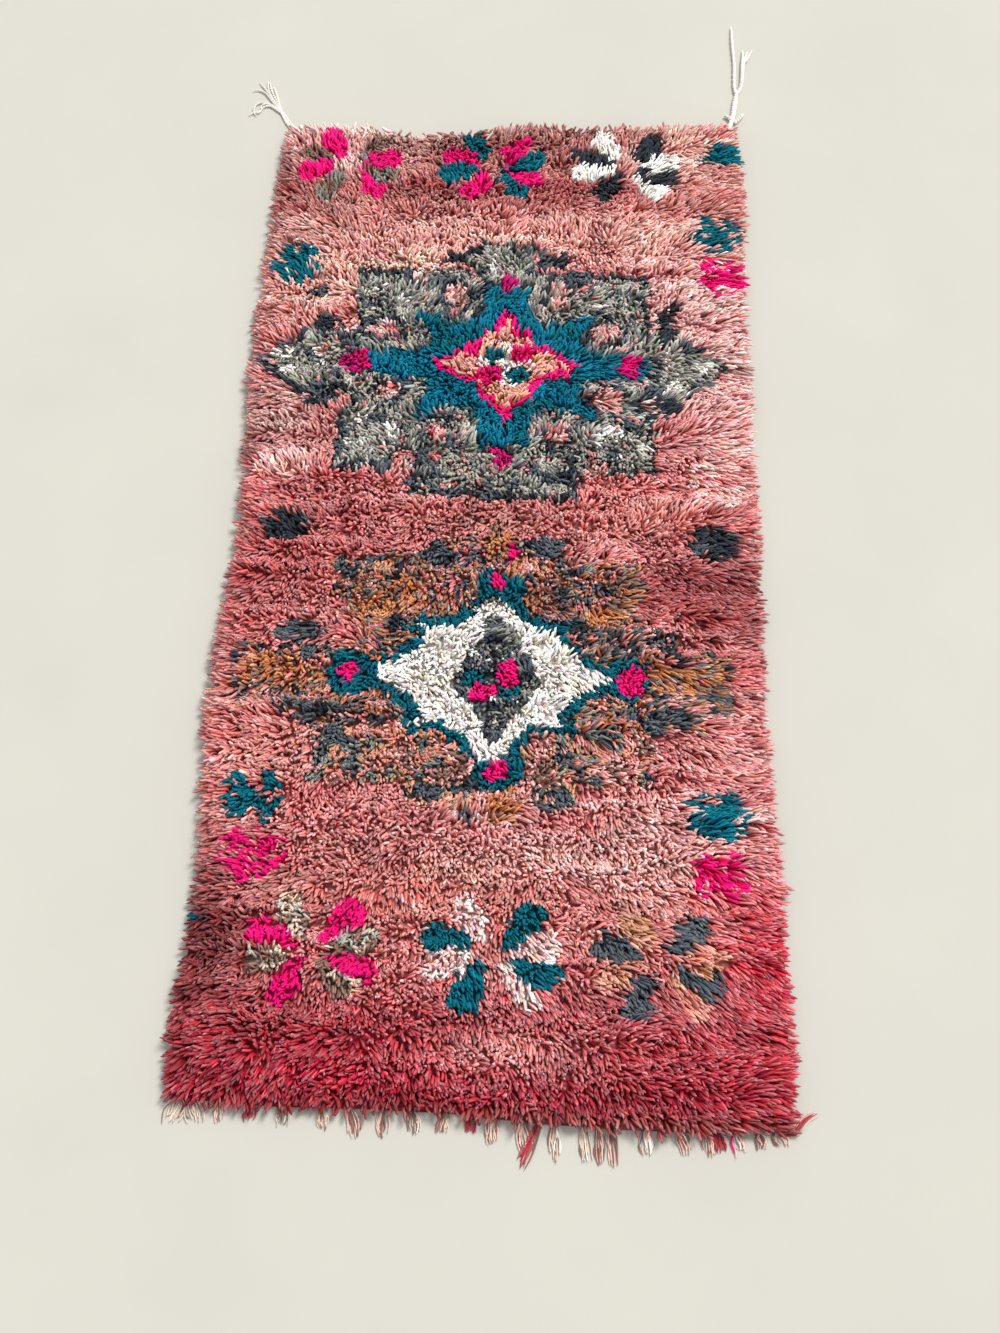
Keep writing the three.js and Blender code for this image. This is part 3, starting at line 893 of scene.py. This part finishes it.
def mesh_of_copies(name, place, faces, marks, dye, yarn):
    """Joins copies of one small mesh; place, dye and yarn are copies by points by values."""
    count, points = place.shape[:2]
    corners = np.concatenate([np.array(face) for face in faces])
    sizes = np.array([len(face) for face in faces])
    starts = np.cumsum(sizes) - sizes
    mesh = bpy.data.meshes.new(name)
    mesh.vertices.add(count * points)
    mesh.vertices.foreach_set("co", place.astype(np.float32).ravel())
    mesh.loops.add(count * len(corners))
    all_corners = corners[None] + points * np.arange(count)[:, None]
    mesh.loops.foreach_set("vertex_index", all_corners.astype(np.int32).ravel())
    mesh.polygons.add(count * len(faces))
    all_starts = starts[None] + len(corners) * np.arange(count)[:, None]
    mesh.polygons.foreach_set("loop_start", all_starts.astype(np.int32).ravel())
    mesh.update(calc_edges=True)
    mesh.shade_smooth()
    cells = math.ceil(math.sqrt(count))
    corner_marks = np.concatenate([np.array(mark) for mark in marks])
    cell = np.stack([np.arange(count) % cells, np.arange(count) // cells], -1)
    layer = mesh.uv_layers.new(name="OFBake")
    uv = (corner_marks[None] + cell[:, None]) / cells
    layer.uv.foreach_set("vector", uv.astype(np.float32).ravel())
    # The dye attribute holds the dye of each point, with any painted shade and highlight in it.
    add_values(mesh, "dye", "FLOAT_COLOR", dye)
    add_values(mesh, "yarn", "FLOAT_VECTOR", yarn)
    mesh.validate()
    return linked(name, mesh)


def smooth_route(points, steps):
    """Evenly spaced places on a smooth curve through a few points, in millimetres."""
    points = np.array(points, float)
    ends = np.vstack([2 * points[0] - points[1], points, 2 * points[-1] - points[-2]])
    pieces = []
    for k in range(len(points) - 1):
        before, first, second, after = ends[k:k + 4]
        t = np.linspace(0, 1, ROUTE_SAMPLES, endpoint=k == len(points) - 2)[:, None]
        pieces.append(0.5 * (2 * first + (second - before) * t
                             + (2 * before - 5 * first + 4 * second - after) * t ** 2
                             + (3 * first - before - 3 * second + after) * t ** 3))
    line = np.vstack(pieces)
    length = np.concatenate([[0], np.cumsum(np.linalg.norm(np.diff(line, axis=0), axis=1))])
    even = np.linspace(0, length[-1], steps)
    return np.stack([np.interp(even, length, line[:, k]) for k in range(line.shape[1])], -1), length[-1]


def finish_piece(piece, material, node):
    piece.data.materials.append(material)
    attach(piece, "root")
    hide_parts(node)


def to_frame(places):
    """Places in millimetres from the rug's middle to metres in the shared frame."""
    places = np.array(places, float)
    places[..., 0] += RUG_MIDDLE[0]
    places[..., 1] += RUG_MIDDLE[1]
    return places * MM


class RUG_OT_ground(Operator):
    """Weave the ground, with the felted roots of the pile on it"""

    bl_idname = "rug.ground"
    bl_label = "Woven ground"

    def execute(self, context):
        made = bmesh.new()
        bmesh.ops.create_grid(made, x_segments=GROUND_CELLS[0], y_segments=GROUND_CELLS[1], size=0.5)
        # The underside has the left half of the map, and the top has the right half.
        layer = made.loops.layers.uv.new("OFBake")
        for loop in (loop for face in made.faces for loop in face.loops):
            place = loop.vert.co
            loop[layer].uv = (0.25 + GROUND_MAP / 2 * place.x, 0.5 + GROUND_MAP * place.y)
        under = made.faces[:]
        raised = bmesh.ops.extrude_face_region(made, geom=under)["geom"]
        bmesh.ops.reverse_faces(made, faces=under)
        top = [part for part in raised if isinstance(part, bmesh.types.BMFace)]
        for loop in (loop for face in top for loop in face.loops):
            loop[layer].uv.x += 0.5
        high = {part for part in raised if isinstance(part, bmesh.types.BMVert)}
        flat = np.array([vertex.co[:2] for vertex in made.verts]) + 0.5
        x, y = self.place(flat[:, 0], flat[:, 1])
        is_top = np.array([vertex in high for vertex in made.verts])
        z = np.where(is_top, self.height(x, y, context.scene.rug_sizes), 0.0)
        for vertex, place in zip(made.verts, to_frame(np.stack([x, y, z], -1))):
            vertex.co = place
        mesh = bpy.data.meshes.new("woven_ground")
        made.to_mesh(mesh)
        made.free()
        mesh.shade_smooth()
        mesh.set_sharp_from_angle(angle=GROUND_EDGE)
        chart = Chart(x, y, context.scene.rug_dyes, np.random.default_rng(GROUND_SEED))
        # The roots take the knots' dyes, darkened by painted shade under the locks.
        dye = np.column_stack([chart.draw() * ROOT_PAINTED_SHADE, np.ones(len(x))])
        add_values(mesh, "dye", "FLOAT_COLOR", dye)
        ground = linked("woven_ground", mesh)
        finish_piece(ground, self.weave(), "pile_rug")
        return {"FINISHED"}

    @staticmethod
    def place(u, v):
        """Places of the cells' corners in plan, inside the pile's reach."""
        x = SIDES[0].left + u * (SIDES[0].right - SIDES[0].left)
        near = column(ENDS, "x", "near", x) + EDGE_INSET
        far = column(ENDS, "x", "far", x) - EDGE_INSET
        y = near + v * (far - near)
        left = column(SIDES, "y", "left", y) + EDGE_INSET
        right = column(SIDES, "y", "right", y) - EDGE_INSET
        return left + u * (right - left), y

    @staticmethod
    def height(x, y, sizes):
        """The cloth's thickness at its edge, and the felted roots further in."""
        inside = np.min(RUG_OT_pile.edges(x, y), axis=0) - EDGE_INSET
        rise = np.clip(inside / ROOT_SLOPE, 0, 1)
        rise = rise * rise * (3 - 2 * rise)
        roots = (sizes.root_height - sizes.ground_thickness) / MM
        lumps = ROOT_CHANGE[0] + ROOT_CHANGE[1] * cloud(x, y, ROOT_LUMP, seed=12)
        return sizes.ground_thickness / MM + rise * roots * lumps

    @staticmethod
    def weave():
        made = Material("woven_ground")
        place = made.add("ShaderNodeTexCoord", output="Object")
        dye = made.add("ShaderNodeAttribute", {"attribute_name": "dye"})
        wefts, warps = (
            made.add("ShaderNodeTexWave", {"bands_direction": way}, {"Vector": place, "Scale": scale})
            for way, scale in (("Y", WEFT_SCALE), ("X", WARP_SCALE)))
        lots = made.add("ShaderNodeTexNoise", {}, {"Vector": place, "Scale": LOT_SCALE, "Detail": 4.0})
        height = wefts * (0.5 + warps * 0.5)
        tone = height * THREAD_TONE + lots * LOT_TONE + 0.5
        colour = made.add("ShaderNodeVectorMath", {"operation": "SCALE"}, {0: dye, "Scale": tone})
        relief = {"Height": height, "Strength": 0.7, "Distance": WEAVE_HEIGHT}
        bump = made.add("ShaderNodeBump", {}, relief)
        made.shader.inputs["Specular IOR Level"].default_value = 0.15
        return made.finish(Base_Color=colour, Roughness=0.9 + lots * 0.1, Normal=bump)


class RUG_OT_pile(Operator):
    """Knot the pile in its dyes, in bands from the near end to the far end"""

    bl_idname = "rug.pile"
    bl_label = "Knotted pile"

    def execute(self, context):
        sizes = context.scene.rug_sizes
        self.rng = np.random.default_rng(PILE_SEED)
        x, y = self.knots(sizes)
        paths, radii = self.locks(x, y, sizes)
        shown = paths[:, 1:, :2].mean(axis=1) / MM - RUG_MIDDLE
        shown += self.rng.normal(0, TIP_STRAY, shown.shape)
        chart = Chart(shown[:, 0], shown[:, 1], context.scene.rug_dyes, self.rng)
        colours = self.colours(x, y, chart)
        starts = unit(np.stack([*self.rng.normal(size=(2, len(x))), np.zeros(len(x))], -1))
        material = wool("wool_locks", fibre_scale=2.4, sheen=0.02)
        bands = np.argsort(np.argsort(y)) * PILE_BANDS // len(y)
        for band in range(PILE_BANDS):
            here = bands == band
            name = f"pile_band_{band + 1}"
            piece = joined_tubes(name, paths[here], radii[here], LOCK_SIDES, colours[here], starts[here])
            finish_piece(piece, material, "pile_rug")
        return {"FINISHED"}

    def colours(self, x, y, chart):
        """Colours of the locks ring by ring: deeper and darker at the root, and faded at the tip."""
        colour = chart.draw()
        uneven = self.rng.normal(0, 1, (len(x), 1)) * (LOCK_SPREAD + FIELD_SPREAD * chart.fading[:, None])
        uneven = uneven + self.rng.normal(0, HUE_SPREAD, (len(x), 3))
        tone = TONE_CHANGE[0] + TONE_CHANGE[1] * cloud(x, y, TONE_PATCH, seed=5)
        colour = colour * np.exp(uneven) * tone[:, None]
        brightest = np.max(colour, axis=1, keepdims=True)
        deep = colour * colour / brightest - colour
        sun = chart.fading * SUN_FADING * self.rng.random(len(x)) ** SUN_CHANCE
        pale = sun[:, None] * (brightest - colour)
        # Painted shade deepens and darkens the roots; the sun fades the tips.
        colours = colour[:, None] + PAINTED_ROOT_SHADE_DEPTH[None, :, None] * deep[:, None]
        colours += TIP_FADING[None, :, None] * pale[:, None]
        # Painted shade and highlight along the lock, with less painted shade on pale locks.
        paleness = np.clip(colour.min(axis=1, keepdims=True), 0, 1) ** 2
        shade = PAINTED_LOCK_SHADE_AND_HIGHLIGHT[None] ** (1 - PALE_GLOW * paleness)
        return np.clip(colours * shade[:, :, None], 0, 1)

    def knots(self, sizes):
        """Knots on rows, a little off their places, where the ground reaches."""
        across, along = sizes.knot_pitch_across / MM, sizes.knot_pitch_along / MM
        x, y = np.meshgrid(np.arange(*KNOT_BOX[0], across), np.arange(*KNOT_BOX[1], along))
        x = x + across / 2 * (np.arange(len(x)) % 2)[:, None]
        x = (x + self.rng.uniform(-KNOT_STRAY, KNOT_STRAY, x.shape) * across).ravel()
        y = (y + self.rng.uniform(-KNOT_STRAY, KNOT_STRAY, y.shape) * along).ravel()
        inside = np.all(self.edges(x, y) > RIM_INSETS, axis=0)
        return x[inside], y[inside]

    @staticmethod
    def edges(x, y):
        """Distance to the left, right, near and far reach of the pile."""
        return np.stack([
            x - column(SIDES, "y", "left", y),
            column(SIDES, "y", "right", y) - x,
            y - column(ENDS, "x", "near", x),
            column(ENDS, "x", "far", x) - y,
        ])

    def rims(self, x, y):
        rims = np.exp((RIM_INSETS - self.edges(x, y)) / FLOP_LENGTH)
        rims[3] *= FAR_FLOP
        return rims

    def lean(self, x, y, rims):
        """Sideways reach of the locks for their height: outwards from the parting, in stray clumps."""
        part_x = (x - PARTING[0]) / np.where(x < PARTING[0], *LEAN_REACH)
        part_y = (y - PARTING[1]) / END_REACH
        side = SIDE_EASE * part_x + (1 - SIDE_EASE) * part_x ** 3
        across = SIDE_LEAN * side + FLOP * (rims[1] - rims[0])
        along = END_LEAN * part_y + FLOP * (rims[3] - rims[2])
        lean = np.stack([across, along], -1)
        rim = np.max(rims, axis=0)[:, None]
        for k, clump in enumerate(CLUMPS):
            stray = drift(x, y, clump.size, seeds=(70 + k, 80 + k))
            lean = lean + 2 * clump.strength * stray * (1 - CLUMP_CALM * rim)
        ridges = cloud(x, y, RIDGE_SIZE, seed=77, stretch=RIDGE_STRETCH) - 0.5
        lean[:, 1] += 2 * RIDGE_STRENGTH * ridges
        return lean + self.rng.normal(0, STRAY_LEAN, lean.shape) * (1 + rim)

    def locks(self, x, y, sizes):
        """Paths of the locks, in metres, and their radii."""
        count = len(x)
        rims = self.rims(x, y)
        lean = self.lean(x, y, rims)
        droop = np.max(rims, axis=0)
        flat = np.clip(np.abs(lean[:, 0]) - FLAT_FROM, 0, 1) * np.clip(1 - droop, 0, 1)
        change = LENGTH_CHANGE[0] + LENGTH_CHANGE[1] * cloud(x, y, LENGTH_PATCH, seed=90)
        length = sizes.lock_length * change * (1 + FLAT_LENGTHENING * flat)
        length = length * np.exp(self.rng.normal(0, LENGTH_SPREAD, count))
        curl = CURL * drift(x, y, CURL_PATCH, seeds=(91, 92)) + self.rng.normal(0, OWN_CURL, (count, 2))
        curl = curl * (1 - FLAT_CALM * flat)[:, None]
        place = to_frame(np.stack([x, y, np.full(count, ROOT_PLACE)], -1))
        places = [place]
        for low, high in zip(LOCK_RINGS[:-1], LOCK_RINGS[1:]):
            middle = (low + high) / 2
            sideways = lean * (BEND_START + BEND_GROWTH * middle) + curl * np.sin(CURL_WAVES * middle)
            up = 1 - DROOP * droop * middle
            step = unit(np.concatenate([sideways, up[:, None]], -1))
            place = place + step * (length * (high - low))[:, None]
            places.append(place)
        paths = np.stack(places, 1)
        own = np.exp(self.rng.normal(0, RADIUS_SPREAD, (count, 1)))
        radii = sizes.lock_radius * LOCK_FULLNESS[None] * own * (1 - FLAT_THINNING * flat)[:, None]
        paths[:, 1:, 2] = self.bowed(paths[:, 1:, 2], radii[:, 1:])
        return paths, radii

    @staticmethod
    def bowed(heights, radii):
        """Heights that end softly under the pile's top and stay off the floor."""
        start = PILE_TOP * BOW_FROM
        room = PILE_TOP - start
        over = np.maximum(heights - start, 0)
        heights = np.minimum(heights, start) + room * np.tanh(over / room)
        return np.maximum(heights, FLOOR_ROOM + radii)


class RUG_OT_fringe(Operator):
    """Lay the cut warp bundles along the near end"""

    bl_idname = "rug.fringe"
    bl_label = "Near fringe"

    def execute(self, context):
        sizes = context.scene.rug_sizes
        rng = np.random.default_rng(FRINGE_SEED)
        routes, yarns = [], []
        for bundle in BUNDLES:
            for _ in range(sizes.bundle_threads):
                routes.append(self.thread(bundle, rng))
                yarns.append(bundle.dyes[rng.integers(len(bundle.dyes))])
        corner_dyes = WARP + RED_WARP
        for _ in range(sizes.bundle_threads):
            stray = np.cumsum(rng.normal(0, CORNER_STRAY, (len(CORNER_BUNDLE), 2)), axis=0)
            routes.append(np.array(CORNER_BUNDLE) + stray)
            yarns.append(corner_dyes[rng.integers(len(corner_dyes))])
        lines = np.stack([smooth_route(route, THREAD_STEPS)[0] for route in routes])
        radius = sizes.thread_radius
        radii = radius * THREAD_TAPER[None] * np.exp(rng.normal(0, THREAD_SPREAD, (len(lines), 1)))
        heap = rng.uniform(0, THREAD_HEAP, (len(lines), 1)) * THREAD_SETTLING
        heights = THREAD_LIFT * radius / MM + heap
        paths = to_frame(np.concatenate([lines, heights[..., None]], -1))
        dyes = context.scene.rug_dyes
        dyed = np.stack([linear(getattr(dyes, name)[:]) for name in yarns])
        # Dyes with painted shade, darkest at the roots under the pile.
        colours = np.clip(dyed[:, None] * THREAD_PAINTED_SHADE[None, :, None], 0, 1)
        piece = joined_tubes("warp_fringe", paths, radii, THREAD_SIDES, colours, UPWARDS)
        material = wool("warp_thread", fibre_scale=1.5, sheen=0.2)
        finish_piece(piece, material, "near_fringe")
        return {"FINISHED"}

    @staticmethod
    def thread(bundle, rng):
        """Places along one warp thread in plan; the threads of a bundle fan out from its root."""
        root_y = column(ENDS, "x", "near", bundle.x) + EDGE_INSET + THREAD_TUCK
        spread = rng.uniform(-0.5, 0.5)
        root = np.array([bundle.x + BUNDLE_WIDTH * spread, root_y])
        length = (bundle.reach + THREAD_HIDDEN) * rng.uniform(*CUT_LENGTHS)
        tip = root + np.array([bundle.lean, -length])
        route = []
        for fan in THREAD_FANS:
            stray = rng.normal(0, THREAD_STRAY, 2) * (fan.width > 0)
            aside = np.array([bundle.fan * spread * fan.width, 0]) + stray
            route.append(root + fan.along * (tip - root) + aside)
        return route


def plied(routes, ply_radius):
    """Plies twisted round each other along routes on the floor, as paths and radii in metres."""
    taper = np.minimum(1, np.linspace(PLY_TAPER, 0, PLY_STEPS))
    radius = ply_radius * (PLY_TIP + (1 - PLY_TIP) * taper)
    radius[-1] = 0
    out = ply_radius / MM * PLY_CLOSENESS * taper
    paths = []
    for route in routes:
        line, length = smooth_route(route, PLY_STEPS)
        ahead = unit(np.gradient(line, axis=0))
        side = np.stack([ahead[:, 1], -ahead[:, 0]], -1)
        for ply in range(PLIES):
            angle = 2 * np.pi * (np.linspace(0, length / PLY_TURN, PLY_STEPS) + ply / PLIES)
            across = line + side * (out * np.cos(angle))[:, None]
            height = 2 * ply_radius / MM + out * np.sin(angle)
            paths.append(np.concatenate([across, height[:, None]], -1))
    return to_frame(np.stack(paths)), np.tile(radius, (len(paths), 1))


class RUG_OT_tassels(Operator):
    """Lay the two white corner tassels at the far end"""

    bl_idname = "rug.tassels"
    bl_label = "Corner tassels"

    def execute(self, context):
        sizes = context.scene.rug_sizes
        cotton = linear(context.scene.rug_dyes.cotton[:])
        yarn = wool("tassel_yarn", fibre_scale=1.8, sheen=0.15)
        left = [LEFT_STEM + end for end in LEFT_ENDS]
        self.lay("left_tassel", left, sizes.strand_radius, cotton, yarn, "far_left_tassel", seed=5)
        right = [RIGHT_STEM + LONG_CORD]
        right += [RIGHT_STEM + SHORT_CORD + end for end in SHORT_ENDS]
        right += ROOT_ENDS
        self.lay("right_tassel", right, sizes.cord_radius, cotton, yarn, "far_right_tassel", seed=7)
        return {"FINISHED"}

    @staticmethod
    def lay(name, routes, radius, dye, material, node, seed):
        rng = np.random.default_rng(seed)
        spread = []
        for route in routes:
            route = np.array(route, float)
            apart = np.linspace(1, 0, len(route))[:, None] * rng.normal(0, STEM_SPREAD, (1, 2))
            spread.append(route + apart + rng.normal(0, YARN_STRAY, route.shape))
        paths, radii = plied(spread, radius)
        shade = rng.uniform(*YARN_SHADES, (len(paths), 1, 1))
        colours = np.clip(np.tile(dye, (len(paths), PLY_STEPS, 1)) * shade, 0, 1)
        piece = joined_tubes(name, paths, radii, PLY_SIDES, colours, UPWARDS)
        finish_piece(piece, material, node)


class RUG_OT_stage(Operator):
    """Set the floor, the light and the camera"""

    bl_idname = "rug.stage"
    bl_label = "Stage"

    def execute(self, context):
        settings = context.scene.rug_stage
        self.floor(settings)
        self.lights(context, settings)
        data = bpy.data.cameras.new("camera")
        data.sensor_fit = "VERTICAL"
        data.sensor_height = SENSOR_HEIGHT
        data.lens = settings.lens
        camera = linked("camera", data)
        camera.location = settings.camera_place
        camera.rotation_euler = settings.camera_turn
        context.scene.camera = camera
        return {"FINISHED"}

    @staticmethod
    def floor(settings):
        made = bmesh.new()
        bmesh.ops.create_grid(made, x_segments=2, y_segments=2, size=FLOOR_HALF)
        bmesh.ops.translate(made, verts=made.verts, vec=(0, 0, -FLOOR_GAP))
        mesh = bpy.data.meshes.new("floor")
        made.to_mesh(mesh)
        made.free()
        floor = linked("floor", mesh)
        paint = Material("floor")
        place = paint.add("ShaderNodeTexCoord", output="Object")
        grain = paint.add("ShaderNodeTexNoise", {}, {"Vector": place, "Scale": FLOOR_GRAIN, "Detail": 4.0})
        pale = [*linear(settings.floor_colour[:]), 1]
        stops = [(0.2, [FLOOR_SHADE * part for part in pale]), (0.8, pale)]
        colour = paint.add("ShaderNodeValToRGB", {"stops": stops}, {0: grain})
        floor.data.materials.append(paint.finish(Base_Color=colour, Roughness=0.75 + grain * 0.1))

    @staticmethod
    def lights(context, settings):
        data = bpy.data.lights.new("key", "SUN")
        data.angle = settings.key_angle
        data.energy = settings.key_strength
        key = linked("key", data)
        key.rotation_euler = Vector(KEY_FROM).to_track_quat("Z", "Y").to_euler()
        world = bpy.data.worlds.new("studio")
        world.use_nodes = True
        background = world.node_tree.nodes["Background"]
        background.inputs["Color"].default_value = FILL_COLOUR
        background.inputs["Strength"].default_value = settings.fill_strength
        context.scene.world = world
        context.scene.view_settings.view_transform = "Standard"


class RUG_PT_panel(Panel):
    """Lists the steps that make the rug"""

    bl_idname = "RUG_PT_panel"
    bl_label = "Boujad rug"
    bl_space_type = "VIEW_3D"
    bl_region_type = "UI"
    bl_category = "Rug"

    def draw(self, context):
        for step in STEPS:
            self.layout.operator(step.bl_idname)
        for group in (context.scene.rug_sizes, context.scene.rug_dyes, context.scene.rug_stage):
            box = self.layout.box()
            for name in group.__annotations__:
                box.prop(group, name)


STEPS = (RUG_OT_ground, RUG_OT_pile, RUG_OT_fringe, RUG_OT_tassels, RUG_OT_stage)
CLASSES = (RugSizes, RugDyes, StageSettings, *STEPS, RUG_PT_panel)


def register():
    for cls in CLASSES:
        bpy.utils.register_class(cls)
    bpy.types.Scene.rug_sizes = PointerProperty(type=RugSizes)
    bpy.types.Scene.rug_dyes = PointerProperty(type=RugDyes)
    bpy.types.Scene.rug_stage = PointerProperty(type=StageSettings)


def unregister():
    for name in ("rug_sizes", "rug_dyes", "rug_stage"):
        delattr(bpy.types.Scene, name)
    for cls in reversed(CLASSES):
        bpy.utils.unregister_class(cls)


def main():
    register()
    bpy.ops.rug.ground()
    bpy.ops.rug.pile()
    bpy.ops.rug.fringe()
    bpy.ops.rug.tassels()
    bpy.ops.rug.stage()
    objects = bpy.data.objects
    on_it = [objects[f"pile_band_{band + 1}"] for band in range(PILE_BANDS)]
    on_it += [objects["warp_fringe"], objects["left_tassel"], objects["right_tassel"]]


if __name__ == "__main__":
    main()
